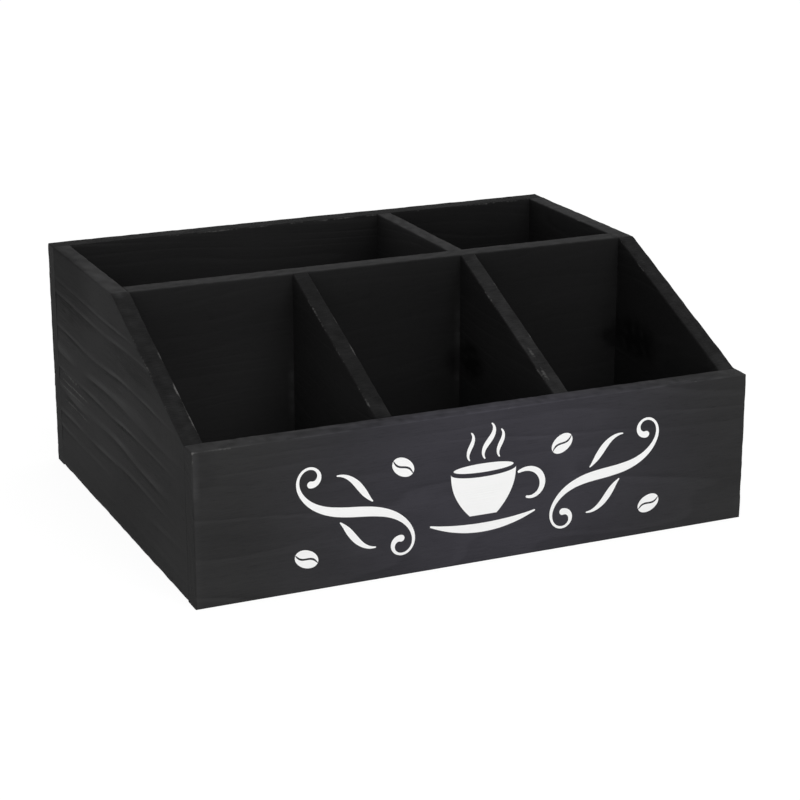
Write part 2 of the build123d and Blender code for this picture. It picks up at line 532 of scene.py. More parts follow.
def stretched_noise(nodes, sizes, detail=3.0, roughness=0.55, shift=(0, 0, 0)):
    """Noise whose patches have the given sizes in millimetres along x, y and z."""
    place = add_node(nodes, "TexCoord").outputs["Object"]
    scale = [1 / (size * MM) for size in sizes]
    turned = add_node(nodes, "Mapping", {"Vector": place, "Scale": scale, "Location": shift})
    settings = {"Vector": turned.outputs[0], "Scale": 1.0, "Detail": detail, "Roughness": roughness}
    return add_node(nodes, "TexNoise", settings).outputs["Fac"]


def ramp(nodes, factor, stops):
    """A grey curve through the stops, each a place and a value."""
    node = add_node(nodes, "ValToRGB", {"Fac": factor})
    elements = node.color_ramp.elements
    for position, _ in stops[2:]:
        elements.new(position)
    for element, (position, value) in zip(elements, stops):
        element.position = position
        element.color = (value, value, value, 1)
    return node.outputs["Color"]


def mix_colours(nodes, factor, first, second, kind="MIX"):
    """Mixes two colours, or multiplies them, by a factor."""
    inputs = {MIX_FACTOR: factor, MIX_FIRST: first, MIX_SECOND: second}
    return add_node(nodes, "Mix", inputs, data_type="RGBA", blend_type=kind).outputs[MIX_RESULT]


def weighed(nodes, weights, factors, total=0.0):
    """Each named factor times its weight, added to a starting value."""
    for name, weight in weights.items():
        total = maths(nodes, "MULTIPLY_ADD", factors[name], weight, total)
    return total


def finish(nodes, shader, colour, roughness, shine=0.5, **relief):
    """Gives a shader its colour, its roughness, its shine and, if there is one, its relief."""
    nodes.links.new(colour, shader.inputs["Base Color"])
    nodes.links.new(roughness, shader.inputs["Roughness"])
    shader.inputs["Specular IOR Level"].default_value = shine
    if relief:
        nodes.links.new(add_node(nodes, "Bump", relief).outputs[0], shader.inputs["Normal"])


# %% [markdown]
# ## Black stain on brushed wood
#
# The stain is thin, so the wood still shows in it: the hard part of each ring takes less stain and stays
# lighter. The fibres are much finer than the mesh, so they are a noise that is stretched along the
# grain, and they also give the bump. Rubbed edges and the painted highlights along them show lighter,
# and each point's colour carries the painted light and shade of its face. The surface is matt. The
# noise has to follow the grain, so there is one material for each of the two directions that the boards
# run in.

# %% What differs from place to place in the wood
MEDIUM_HARD, MIDDLE_OF_NOISE = 0.38, 0.5
FIBRE_SIZE, PORE_SIZE, CLOUD_SIZE = (14, 0.42), (6, 0.30), (90, 38)
PORES_FROM_TO = ((0.60, 0.0), (0.70, 1.0))


def wood_factors(nodes, grain):
    """The things that change from place to place, by name."""
    figure = kept(nodes, "figure")
    hard = ramp(nodes, maths(nodes, "FRACT", kept(nodes, "ring")), SOFT_TO_HARD)
    rougher = maths(nodes, "MULTIPLY_ADD", figure, ROUGHER_WITH_FIGURE, SMOOTHEST)
    fibres = stretched_noise(nodes, along(grain, FIBRE_SIZE), detail=4)
    fibres = maths(nodes, "MULTIPLY", maths(nodes, "SUBTRACT", fibres, MIDDLE_OF_NOISE), rougher)
    marks = stretched_noise(nodes, sizes=(4.5, 0.7, 0.7), roughness=0.65, shift=(0.4, 0.2, 0.1))
    marks = maths(nodes, "SUBTRACT", marks, MIDDLE_OF_NOISE)
    return {
        "late": maths(nodes, "MULTIPLY", maths(nodes, "SUBTRACT", hard, MEDIUM_HARD), figure),
        "fibres": maths(nodes, "ADD", fibres, MIDDLE_OF_NOISE),
        "pores": ramp(nodes, stretched_noise(nodes, along(grain, PORE_SIZE), detail=2), PORES_FROM_TO),
        "clouds": stretched_noise(nodes, along(grain, CLOUD_SIZE), detail=2),
        "marks": maths(nodes, "MULTIPLY", marks, kept(nodes, "sawn")),
        "wear": kept(nodes, "wear"),
        "scuffs": stretched_noise(nodes, sizes=(1.5, 1.5, 1.5), detail=4, roughness=0.7),
    }


# %% The stained wood, once for each direction of the grain
STAIN_DARK = (0.0100, 0.0100, 0.0102, 1)
STAIN_LIGHT = (0.0436, 0.0433, 0.0439, 1)
# The colour of rubbed edges and of painted edge highlights.
STAIN_RUBBED_AND_HIGHLIT = (0.115, 0.114, 0.112, 1)
TONE = {"late": 0.24, "fibres": 0.26, "clouds": 0.36, "pores": -0.09, "marks": 0.9}
RELIEF = {"late": 0.8, "fibres": 1.0, "pores": -0.6, "marks": 3.0}
ROUGHNESS = {"fibres": 0.18, "pores": 0.10}
BARE_AND_HIGHLIT, BARE_AND_HIGHLIT_FROM_TO = {"wear": 1.3, "scuffs": 0.7}, ((0.62, 0.0), (1.0, 1.0))


def stained_wood(name, grain):
    """Black-stained brushed wood with its grain along one axis."""
    material, nodes, shader = new_material(name)
    factors = wood_factors(nodes, grain)
    colour = mix_colours(nodes, weighed(nodes, TONE, factors, total=0.055), STAIN_DARK, STAIN_LIGHT)
    # Multiplies in the stain and the painted light and shade kept for each point.
    colour = mix_colours(nodes, 1.0, colour, kept(nodes, "stain", "Color"), "MULTIPLY")
    # Lighter where the stain is rubbed off, and where an edge highlight is painted.
    bare_and_highlit = ramp(nodes, weighed(nodes, BARE_AND_HIGHLIT, factors), BARE_AND_HIGHLIT_FROM_TO)
    finish(
        nodes, shader, mix_colours(nodes, bare_and_highlit, colour, STAIN_RUBBED_AND_HIGHLIT),
        roughness=weighed(nodes, ROUGHNESS, factors, total=0.68), shine=0.05,
        Height=weighed(nodes, RELIEF, factors), Distance=0.10 * MM, Strength=0.7,
    )
    return material


WOOD = {X: stained_wood("black_stain_along_x", X), Y: stained_wood("black_stain_along_y", Y)}
print("stained wood:", ", ".join(material.name for material in WOOD.values()))

# %% [markdown]
# ## One board from start to finish
#
# The steps above are always taken in the same order, so one function takes them all. A board then needs
# only what is its own: its tree, its eased edges, where it is glued, and how light each face is painted,
# for its stain and for the light and shade that fall on it.

# %% Make a board
SHARPEST_SMOOTH_EDGE = math.radians(24)
FIGURE_LOST_BY_SAWING = 0.7


def make_board(node, tree, face_shade_and_stain, eased=(), glued=(), across=ACROSS_GRAIN):
    """Makes the board that replaces a node of the frame; it slopes if its slope has a tone."""
    low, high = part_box(node)
    sloping = "slope" in face_shade_and_stain
    board = sawn_blank(node + "_brushed", node)
    pick(board, "EDIT")
    if sloping:
        saw_slope(board, low, high)
    edge_loops(board, low, high, sloping)
    divide_all(board, tree["grain"], across, low, high)
    faces = outer_faces(low, high, sloping)
    rounded = ease(board, faces, eased) if eased else 0
    bpy.ops.object.mode_set(mode="OBJECT")
    bpy.ops.object.shade_smooth_by_angle(angle=SHARPEST_SMOOTH_EDGE)
    places, inwards = read(board.data, "co"), -read(board.data, "normal")
    ring, figure = rings(places, tree), figure_shown(places, tree)
    close = edge_closeness(places, faces, eased)
    moved = brush(places, inwards, ring, figure, close, tree)
    glue(places, moved, faces, {"bottom": FLUSH, **dict.fromkeys(glued, GLUED)})
    board.data.vertices.foreach_set("co", moved.astype(np.float32).ravel())
    sawn = on_face(places, faces["slope"]) if sloping else np.zeros(len(places))
    keep(
        board.data, ring=ring, sawn=sawn, figure=figure * (1 - FIGURE_LOST_BY_SAWING * sawn),
        stain=stain_taken(places, faces, face_shade_and_stain, tree), wear=wear_left(places, close, tree),
    )
    board.data.update()
    board.data.materials.append(WOOD[tree["grain"]])
    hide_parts(node)
    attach(board, "root")
    triangles = sum(len(face.vertices) - 2 for face in board.data.polygons)
    print(board.name, "has", triangles, "triangles and", rounded, "rounded edges in its grid")


# %% [markdown]
# ## Where spots can lie
#
# The spots of the next cells lie on faces whose places come from the frame, in millimetres. All tones
# are shares of the stain's own lightness, and the compartments are painted darker than the outside, as
# painted shade.

# %% Faces in millimetres, and tones
def faces_at(node, axis):
    """Where the lower and the upper face of a board lie along an axis, in millimetres."""
    return [round(corner[axis] / MM, ndigits=3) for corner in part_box(node)]


LEFT_OUT, LEFT_IN = faces_at("left_side", X)
RIGHT_IN, RIGHT_OUT = faces_at("right_side", X)
FIRST_LEFT, FIRST_RIGHT = faces_at("front_divider_left", X)
SECOND_LEFT, SECOND_RIGHT = faces_at("front_divider_right", X)
FRONT = faces_at("front_board", Y)[0]
PARTITION_FRONT, PARTITION_REAR = faces_at("partition", Y)
BACK_IN, BACK_OUT = faces_at("back_board", Y)
FRONT_TOP, TOP = faces_at("front_board", Z)[1], faces_at("back_board", Z)[1]
# The painted shade inside the compartments, and the darker stain of end grain.
PAINTED_SHADE_INSIDE, END_GRAIN = 0.66, 0.92
TOP_ENDS, SLOPE_ENDS = [("top", "left"), ("top", "right")], [("slope", "left"), ("slope", "right")]
print("outer faces: x", LEFT_OUT, "to", RIGHT_OUT, "y", FRONT, "to", BACK_OUT, "top", TOP, "mm")


def bay_wall_shading(high, low):
    """A compartment wall's painted shade at its top and at the floor, as shares of the usual shade inside."""
    return (PAINTED_SHADE_INSIDE * high, PAINTED_SHADE_INSIDE * low)


def rim(face):
    """The four edges round a face."""
    return [(face, "top"), (face, "left"), (face, "right"), (face, "bottom")]


# %% [markdown]
# ## The front board
#
# The low board runs across the ends of both sides, so its end grain shows at the corners. It is brushed
# only lightly, because it gets painted. Its front and top are painted lighter than the sides, for the
# light that falls on them, with a wide bluish painted highlight in the middle of the front. Thin painted
# highlights run down its left corner, and the upper left corner is knocked bare, partly as a painted
# highlight.

# %% Make the front board
FRONT_TREE = {
    "grain": X, "middle": (-62, 22), "lean": (0.05, 0.04), "ring": 5.5, "seed": 11, "figure": 0.35,
    "painted_light_and_stain_spots": (
        # A wide bluish painted highlight in the middle of the front.
        ((8, FRONT, 44), (120, 20, 110), (1.34, 1.30, 1.54)),
        ((-148, FRONT, 70), (9, 4, 13), 0.86),
        # Painted highlights down the left corner.
        ((LEFT_OUT, FRONT, 66), (2.4, 2.4, 16), 1.6),
        ((LEFT_OUT, FRONT, 20), (2.4, 2.4, 44), 1.12),
    ),
    # Rubbed edges at the upper left, partly painted highlights.
    "rubs_and_highlights": (
        ((LEFT_OUT, FRONT, 79.8), (1.6, 1.8, 1.8), 0.75),
        ((LEFT_OUT, FRONT, 75), (1.5, 1.5, 5), 0.35),
        ((-139, FRONT, FRONT_TOP), (13, 2.5, 2.5), 0.30),
    ),
}
make_board(
    "front_board", FRONT_TREE,
    # The front and the top are painted lighter for the light on them; the inner face gets painted shade.
    face_shade_and_stain={"front": 1.24, "top": 1.57, "left": END_GRAIN, "right": END_GRAIN, "rear": PAINTED_SHADE_INSIDE},
    eased=rim("front") + [("top", "rear")] + TOP_ENDS,
)

# %% [markdown]
# ## The back board
#
# It covers the rear ends of the sides, and is as high as they are. The photograph doesn't show its rear
# face, which gets streaks as clear as those of the left side. Its inner face stays plain, with painted
# shade towards the right, and its inner top edge is rubbed, partly as a painted highlight.

# %% Make the back board
BACK_TREE = {
    "grain": X, "middle": (150, 70), "lean": (0.03, -0.05), "ring": 4.8, "seed": 31, "figure": 0.5,
    "streaks": (((0, BACK_OUT, 60), (300, 9, 160), 2.0),),
    # Painted shade on the inner face, towards the right.
    "painted_light_and_stain_spots": (((90, BACK_IN, 100), (80, 4, 90), 0.62),),
    # Its inner top edge rubbed, partly a painted highlight.
    "rubs_and_highlights": (((0, BACK_IN, TOP), (260, 2, 2), 0.30),),
}
make_board(
    "back_board", BACK_TREE,
    # Faces painted lighter or darker for the light on them; the inner face gets painted shade.
    face_shade_and_stain={"rear": 1.0, "top": 0.46, "left": END_GRAIN, "right": END_GRAIN, "front": bay_wall_shading(1, 1.2)},
    eased=rim("rear") + [("top", "front")] + TOP_ENDS,
)

# %% [markdown]
# ## The two sides
#
# A side is level behind and slopes down to the front board. The left one was cut far from the middle of
# a big tree with wide rings, so its streaks are straight, and the brush cut deep between them. They
# fade towards the front and the floor. Its outer face is lighter in the middle, and darker near the
# floor and at the top behind. Hands have rubbed the inner edge of its slope, where the rubbing is
# partly a painted highlight, and pale scratches run along the grain near the back. The right one is of
# quieter wood. Its inner face is painted darker, with a dark blob of painted shade and a painted
# highlight in its corner with the partition. Both slopes are darker, partly as end grain and partly as
# painted shade, and the level tops are painted lighter, as a sheen.

# %% The left side's tree
LEFT_TREE = {
    "grain": Y, "middle": (-100, 330), "lean": (0.0, 0.01), "ring": 12.5, "seed": 51, "figure": 2.4,
    "waver": 0.3,
    "streaks": (
        ((LEFT_OUT, -112, 56), (8, 62, 80), 0.08),
        ((LEFT_OUT, 0, 4), (8, 160, 36), 0.06),
        ((LEFT_OUT, 50, TOP), (8, 90, 17), 0.2),
        ((LEFT_OUT, 88, 102), (8, 44, 15), 2.0),
        ((LEFT_OUT, -22, 76), (8, 40, 36), 1.45),
        ((LEFT_IN, 0, 60), (8, 240, 160), 0.4),
    ),
    # Lighter in the middle of the outer face, darker near the floor and at the top behind.
    "painted_light_and_stain_spots": (
        ((LEFT_OUT, 85, 116), (4, 52, 40), 0.45),
        ((LEFT_OUT, -14, 8), (4, 52, 28), 0.78),
        ((LEFT_OUT, -86, 66), (4, 26, 22), 1.12),
        ((LEFT_OUT, 10, 58), (4, 80, 26), 1.14),
        ((-147, -10, 122), (7, 24, 11), 1.15),
        ((-147.5, 25, TOP), (9, 50, 3), 1.18),
    ),
    # Rubbed edges, partly painted highlights.
    "rubs_and_highlights": (
        ((LEFT_IN, -47, 106.5), (3, 13, 8), 0.42),
        ((LEFT_IN, -71, 96), (3, 8, 5), 0.8),
        ((LEFT_IN, -88, 89), (3, 36, 17), 0.50),
        ((LEFT_OUT, -58, 102), (3, 74, 34), 0.30),
        ((LEFT_IN, 45, TOP), (3, 66, 3), 0.36),
    ),
    "scratches": (
        ((LEFT_OUT, 86, 57.5), (2, 34, 1.5), 0.29),
        ((LEFT_OUT, 78, 53), (2, 44, 1.5), 0.32),
        ((LEFT_OUT, 84, 49), (2, 36, 1.5), 0.31),
        ((LEFT_OUT, 76, 42), (2, 44, 1.5), 0.29),
    ),
}

# %% Make both sides
RIGHT_TREE = {
    "grain": Y, "middle": (112, 88), "lean": (-0.05, 0.08), "ring": 5.6, "seed": 71, "figure": 0.6,
    "streaks": (((RIGHT_OUT, 0, 60), (8, 240, 160), 2.2),),
    "painted_light_and_stain_spots": (
        # Painted shade on the inner face with a dark blob, a painted highlight in the corner, a lighter slope
        # end.
        ((RIGHT_IN, -22, 74), (4, 26, 13), 0.3),
        ((RIGHT_IN, -30, 90), (4, 90, 50), 0.75),
        ((RIGHT_IN, PARTITION_FRONT, 98), (2.2, 2.2, 11), 1.6),
        ((147.5, -104, 82.5), (9, 9, 8), 1.4),
    ),
}


def make_side(node, tree, outside, inside, top):
    """Makes a side; outside and inside name its faces, and top is how light its level edge is painted."""
    make_board(
        node, tree,
        # Faces painted lighter or darker for the light on them; the slope darker, partly end grain, partly
        # painted shade.
        face_shade_and_stain={outside: 0.88, inside: bay_wall_shading(0.62, 1.25), "slope": 0.6392, "top": top},
        eased=TOP_ENDS + SLOPE_ENDS + [("bottom", outside)],
        glued=("front", "rear"),
    )


make_side("left_side", LEFT_TREE, outside="left", inside="right", top=1.15)
make_side("right_side", RIGHT_TREE, outside="right", inside="left", top=1.3)

# %% [markdown]
# ## The partition
#
# The board between the two rows shows behind the three compartments. It is painted darker in the
# middle and the right compartment, with painted shade in two corners, and lighter near the floor. The
# pale lines in two corners are glue, with a painted highlight on it. Its rear top edge is rubbed,
# partly as a painted highlight, and its top is painted lighter.

# %% Make the partition
PARTITION_TREE = {
    "grain": X, "middle": (46, 30), "lean": (-0.04, 0.05), "ring": 5.8, "seed": 91, "figure": 0.2,
    "painted_light_and_stain_spots": (
        # Painted shade in two corners, and over the middle and the right compartment.
        ((44, PARTITION_FRONT, 68), (9, 4, 9), 0.45),
        ((142, PARTITION_FRONT, 71), (11, 4, 10), 0.4),
        ((60, PARTITION_FRONT, 70), (130, 4, 90), 0.62),
        # Painted highlights on the glue in two corners.
        ((FIRST_LEFT, PARTITION_FRONT, 61), (2.2, 2.2, 22), 2.0),
        ((SECOND_LEFT, PARTITION_FRONT, 77), (2.2, 2.2, 34), 2.0),
    ),
    # Its rear top edge rubbed, partly a painted highlight.
    "rubs_and_highlights": (((0, PARTITION_REAR, TOP), (300, 2.5, 2.5), 0.30),),
}
make_board(
    "partition", PARTITION_TREE,
    # Painted shade on the front face, lifted towards the floor, and a top painted lighter.
    face_shade_and_stain={"front": bay_wall_shading(0.86, 1.9), "rear": PAINTED_SHADE_INSIDE, "top": 1.22},
    eased=[("top", "front"), ("top", "rear")],
    glued=("left", "right", "bottom"),
)

# %% [markdown]
# ## The dividers
#
# Two dividers slope like the sides and split the front row into three. Their edges were handled most, so
# they are rubbed in long thin lines, which are partly painted highlights. Their slopes are darker, partly
# as end grain and partly as painted shade, and the right one has a dark blob of painted shade near the
# partition. The third one stands behind the partition, level with it, and cuts off the narrow
# compartment.

# %% The front dividers' trees
LEFT_DIVIDER_TREE = {
    "grain": Y, "middle": (-85, 40), "lean": (0.05, 0.07), "ring": 5.2, "seed": 111, "figure": 0.45,
    "painted_light_and_stain_spots": (((-49, -104, 82), (7, 9, 8), 1.35), ((-49, -1, TOP), (8, 3, 4), 1.3)),
    # Rubbed lines, partly painted highlights.
    "rubs_and_highlights": (
        ((FIRST_LEFT, -32, 113), (2.4, 28, 14), 0.33),
        ((FIRST_LEFT, -94, 86), (2.4, 20, 10), 0.38),
        ((FIRST_LEFT, -66, 98), (2.4, 30, 14), 0.28),
        ((FIRST_RIGHT, -13, 121), (2.4, 9, 6), 0.36),
        ((FIRST_RIGHT, -37, 111), (2.4, 9, 6), 0.44),
        ((FIRST_RIGHT, -61, 100.5), (2.4, 11, 6), 0.48),
    ),
}
RIGHT_DIVIDER_TREE = {
    "grain": Y, "middle": (20, 40), "lean": (0.05, 0.07), "ring": 5.2, "seed": 131, "figure": 0.45,
    "painted_light_and_stain_spots": (
        # A dark blob of painted shade near the partition.
        ((SECOND_LEFT, -14, 71), (4, 17, 11), 0.3),
        ((49, -6, 125), (7, 20, 10), 0.8),
        ((49, -68, 98), (7, 11, 7), 1.25),
        ((49, -84, 91), (7, 8, 6), 0.8),
    ),
    # Rubbed lines, partly painted highlights.
    "rubs_and_highlights": (
        ((SECOND_LEFT, -38, 110), (2.4, 34, 16), 0.29),
        ((SECOND_LEFT, -95, 86), (2.4, 13, 7), 0.34),
        ((SECOND_RIGHT, -13, 121), (2.4, 9, 6), 0.36),
        ((SECOND_RIGHT, -25, 116), (2.4, 8, 5), 0.40),
        ((SECOND_RIGHT, -68, 97), (2.4, 11, 6), 0.40),
    ),
    "scratches": (((47.5, -79, 93), (1.5, 10, 5), 0.31), ((47, -95, 86), (1.5, 11, 5), 0.31)),
}

# %% Make the three dividers
AROUND = ("front", "rear", "bottom")
REAR_DIVIDER_TREE = {
    "grain": Y, "middle": (90, 60), "lean": (0.05, -0.05), "ring": 4.9, "seed": 151, "figure": 0.45,
}
# Painted shade on the walls, lifted towards the floor; slopes darker, partly end grain and partly painted
# shade.
LEFT_SHADE_AND_STAIN = {"left": bay_wall_shading(0.66, 1.8), "right": PAINTED_SHADE_INSIDE, "slope": 0.48}
RIGHT_SHADE_AND_STAIN = {"left": bay_wall_shading(0.58, 1.3), "right": PAINTED_SHADE_INSIDE, "slope": 0.86}
REAR_SHADE_AND_STAIN = {"left": PAINTED_SHADE_INSIDE, "right": PAINTED_SHADE_INSIDE, "top": 1.3}
make_board("front_divider_left", LEFT_DIVIDER_TREE, LEFT_SHADE_AND_STAIN, eased=SLOPE_ENDS, glued=AROUND)
make_board("front_divider_right", RIGHT_DIVIDER_TREE, RIGHT_SHADE_AND_STAIN, eased=SLOPE_ENDS, glued=AROUND)
make_board("rear_divider", REAR_DIVIDER_TREE, REAR_SHADE_AND_STAIN, eased=TOP_ENDS, glued=AROUND)

# %% [markdown]
# ## The base
#
# A thin panel closes the bottom, glued and nailed between the four outer boards. Hardly any light gets
# down to it, so its grid is coarser.

# %% Make the base
COARSE_GRID = 1.5 * MM
BASE_TREE = {
    "grain": X, "middle": (20, -160), "lean": (0.03, 0.05), "ring": 4.6, "seed": 171, "figure": 0.6,
}
make_board(
    "base_panel", BASE_TREE,
    # Its top gets the painted shade of the compartments.
    face_shade_and_stain={"top": PAINTED_SHADE_INSIDE},
    glued=("left", "right", "front", "rear"),
    across=COARSE_GRID,
)

# %% [markdown]
# ## The painted motif
#
# The front board carries a decoration in opaque white paint: a steaming cup on its saucer between two
# scrolls, with a few coffee beans. A sign painter's stroke swells and thins along its way. So a stroke
# is a line that winds more and more, with a width for each part of it, and its outline is half that
# width away on both sides.

# %% A winding line, and a brush stroke along it
END_STEPS = 8
SMOOTHINGS = 6


def wind(start, heading, bends, length):
    """Points along a line whose bend changes evenly; in degrees, and degrees per millimetre."""
    steps = round(length)
    spot, turn, step = np.array(start, dtype=float), math.radians(heading), length / steps
    line = [spot]
    for number in range(steps):
        bend = math.radians(bends[0] + (bends[1] - bends[0]) * (number + 0.5) / steps) * step
        spot = spot + step * np.array((math.cos(turn + bend / 2), math.sin(turn + bend / 2)))
        turn += bend
        line.append(spot)
    return np.array(line)


def round_end(spot, forwards, sideways, width):
    """The half circle that closes a stroke's end."""
    turns = [math.pi * number / END_STEPS for number in range(1, END_STEPS)]
    return [spot + width / 2 * (math.cos(turn) * sideways + math.sin(turn) * forwards) for turn in turns]


def stroke(line, widths):
    """The outline of a brush stroke along a line; the widths are spaced evenly from end to end."""
    share = np.linspace(0, 1, len(line))
    width = np.interp(share, np.linspace(0, 1, len(widths)), widths)
    for _ in range(SMOOTHINGS):
        width[1:-1] = (width[:-2] + 2 * width[1:-1] + width[2:]) / 4
    forwards = np.gradient(line, axis=0)
    forwards /= np.linalg.norm(forwards, axis=1)[:, None]
    sideways = np.stack((-forwards[:, 1], forwards[:, 0]), axis=1)
    upper, lower = line + sideways * width[:, None] / 2, line - sideways * width[:, None] / 2
    far_end = round_end(line[-1], forwards[-1], sideways[-1], width[-1])
    near_end = round_end(line[0], -forwards[0], -sideways[0], width[0])
    return np.concatenate((upper, far_end, lower[::-1], near_end))


def turned(points, degrees, middle):
    """Points turned about zero and then moved."""
    turn = math.radians(degrees)
    return points @ np.array(((math.cos(turn), math.sin(turn)), (-math.sin(turn), math.cos(turn)))) + middle


def mirrored(outline):
    """The same outline on the other side of the middle."""
    return (outline * (-1, 1))[::-1]


# %% [markdown]
# ### Cup, saucer and steam
#
# All numbers are millimetres: to the right from the board's middle, and up from the table. The strokes
# never touch, as in a stencil. So the cup's rim is a gap between its coffee and its body, and a bean's
# slit is a gap between its halves.

# %% Draw the cup
RIM_Z, FOOT_Z, RIM_HALF, FOOT_HALF = 48.8, 25.5, 18.0, 7.5
RIM_DIP, SIDE_CURVE, BELOW_RIM = 3.2, 2.2, 0.04
COFFEE_HALF, COFFEE_DEPTH, COFFEE_RISE, NEARLY_ROUND = 16.6, 2.3, 1.6, 6.15


def cup_side(share):
    """A point on the cup's right side, from the rim, 0, to the foot, 1."""
    return (RIM_HALF - (RIM_HALF - FOOT_HALF) * share ** SIDE_CURVE, RIM_Z + (FOOT_Z - RIM_Z) * share)


turns = np.linspace(math.pi, 0, num=41)
under_rim = [(RIM_HALF * math.cos(turn), RIM_Z - RIM_DIP * math.sin(turn)) for turn in turns]
right_side = [cup_side(share) for share in np.linspace(BELOW_RIM, 1, num=24)]
cup_body = np.array(under_rim + right_side + [(-x, z) for x, z in right_side[::-1]])
turns = np.linspace(0, NEARLY_ROUND, num=44)
coffee = np.stack((COFFEE_HALF * np.cos(turns), RIM_Z + COFFEE_RISE + COFFEE_DEPTH * np.sin(turns)), axis=1)
print("cup is", 2 * RIM_HALF, "mm wide and", round(coffee[:, 1].max() - FOOT_Z, 1), "mm high")

# %% Draw the handle, the saucer and the steam
HANDLE_WIDTHS = (1.5, 2.6, 3.4, 3.2, 2.2, 1.3)
SAUCER_WIDTHS = (0.9, 3.0, 4.4, 4.8, 4.4, 3.0, 0.9)
STEAM_SHARES, STEAM_END = (0.75, 1, 0.75), 0.7
WISPS = (
    {"x": -8.0, "bend": 18, "length": 15, "width": 2.4},
    {"x": 0.5, "bend": 16, "length": 20, "width": 3.0},
    {"x": 8.6, "bend": 18, "length": 15, "width": 2.4},
)

handle = stroke(wind(start=(19.8, 45.4), heading=24, bends=(-5.0, -9.4), length=31), HANDLE_WIDTHS)
saucer = stroke(wind(start=(-29, 23.2), heading=-18, bends=(0.62, 0.62), length=58.8), SAUCER_WIDTHS)
outlines = [cup_body, coffee, handle, saucer]
for wisp in WISPS:
    bends = (-wisp["bend"], wisp["bend"] + 1)
    line = wind(start=(wisp["x"], 55.3), heading=128, bends=bends, length=wisp["length"])
    widths = [STEAM_END, *(share * wisp["width"] for share in STEAM_SHARES), STEAM_END]
    outlines.append(stroke(line, widths))
print("cup's handle reaches", round(handle[:, 0].max(), 1), "mm from the middle")

# %% [markdown]
# ### Scrolls, leaves and beans
#
# A scroll is drawn from its middle: one half winds up more and more, and the other half is the same
# turned round. So are the two leaf strokes beside it. The left flank is the right one in a mirror.

# %% Draw the scroll and its leaves
SCROLL_MIDDLE, SCROLL_TURN = (69, 37.5), 6
HALF_LENGTH, BEND_AT_JOIN, BEND_AT_TIP = 32, 3.2, 16.5
SCROLL_WIDTHS = (3.6, 1.3, 1.3, 2.2, 3.6, 4.9, 5.3, 4.9, 3.6, 2.2, 1.3, 1.3, 3.6)
LEAF_WIDTHS = (0.7, 3.4, 3.6, 2.2, 0.7)

gentle = wind((0, 0), 0, (0, BEND_AT_JOIN), HALF_LENGTH)
way = gentle[-1] - gentle[-2]
heading = math.degrees(math.atan2(way[1], way[0])) + BEND_AT_JOIN / 2
tight = wind(gentle[-1], heading, (BEND_AT_JOIN, BEND_AT_TIP), HALF_LENGTH)
half = np.concatenate((gentle, tight[1:]))
scroll = turned(np.concatenate((-half[:0:-1], half)), SCROLL_TURN, SCROLL_MIDDLE)
leaf = wind(start=(-8.5, 4.5), heading=42, bends=(3.0, -6.5), length=25)
flank = [stroke(scroll, SCROLL_WIDTHS)]
for degrees in (0, 180):
    flank.append(stroke(turned(leaf, degrees, SCROLL_MIDDLE), LEAF_WIDTHS))
print("scroll spans", round(np.ptp(scroll[:, 0]), 1), "mm")

# %% Draw the beans, and mirror the flank
BEAN_HALF_LENGTH, BEAN_HALF_WIDTH, BEAN_POINTS = 6.4, 4.5, 33
SLIT, SLIT_END, SLIT_FLARE = 0.45, 0.12, 0.4
BEANS = ({"turned": 35, "middle": (44, 57)}, {"turned": 25, "middle": (95.5, 17)})


def bean_half(side, degrees, middle):
    """One half of a coffee bean, beside its curved slit; side is 1 or -1."""
    turns = np.linspace(0, math.pi, BEAN_POINTS)
    bulge = BEAN_HALF_WIDTH - SLIT_END
    rim = np.stack((BEAN_HALF_LENGTH * np.cos(turns), side * (SLIT_END + bulge * np.sin(turns))), axis=1)
    shares = np.linspace(0, 1, BEAN_POINTS)[1:-1]
    width = SLIT_END + SLIT * np.sin(math.pi * shares) ** SLIT_FLARE
    curve = np.sin(2 * math.pi * shares)
    slit = np.stack((BEAN_HALF_LENGTH * (2 * shares - 1), curve + side * width), axis=1)
    return turned(np.concatenate((rim, slit)), degrees, middle)


for bean in BEANS:
    flank += [bean_half(side, bean["turned"], bean["middle"]) for side in (1, -1)]
for outline in flank:
    outlines += [outline, mirrored(outline)]
print(len(outlines), "painted shapes")

# %% [markdown]
# ### From outlines to paint
#
# A flat curve is filled, given a thickness, made into a mesh and turned upright. The paint was brushed
# onto the board, so it follows the wood beneath it: its face is cut into a grid, and each point moves
# inwards exactly as the board's own points do, less the film's thickness.

# %% Fill the outlines, and stand the paint upright
PAINT_DEPTH = 0.6 * MM
MOTIF_NAME = "front_board_motif"
front_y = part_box("front_board")[0].y

flat = bpy.data.curves.new(MOTIF_NAME, "CURVE")
flat.dimensions, flat.fill_mode, flat.extrude = "2D", "BOTH", PAINT_DEPTH / 2
for outline in outlines:
    spline = flat.splines.new("POLY")
    spline.points.add(len(outline) - 1)
    spline.use_cyclic_u = True
    for point, (x, z) in zip(spline.points, outline * MM):
        point.co = (x, z, 0, 1)
motif = bpy.data.objects.new(MOTIF_NAME, flat)
bpy.context.collection.objects.link(motif)
pick(motif)
bpy.ops.object.convert(target="MESH")
motif.rotation_euler = (math.pi / 2, 0, 0)
motif.location = (0, front_y + PAINT_DEPTH / 2, 0)
bpy.ops.object.transform_apply(location=True, rotation=True, scale=True)
print("flat paint has", len(motif.data.polygons), "faces")

# %% Cut the paint into a grid
PAINT_GRID_X, PAINT_GRID_Z = 3.0 * MM, 1.5 * MM
DOUBLES = 0.001 * MM

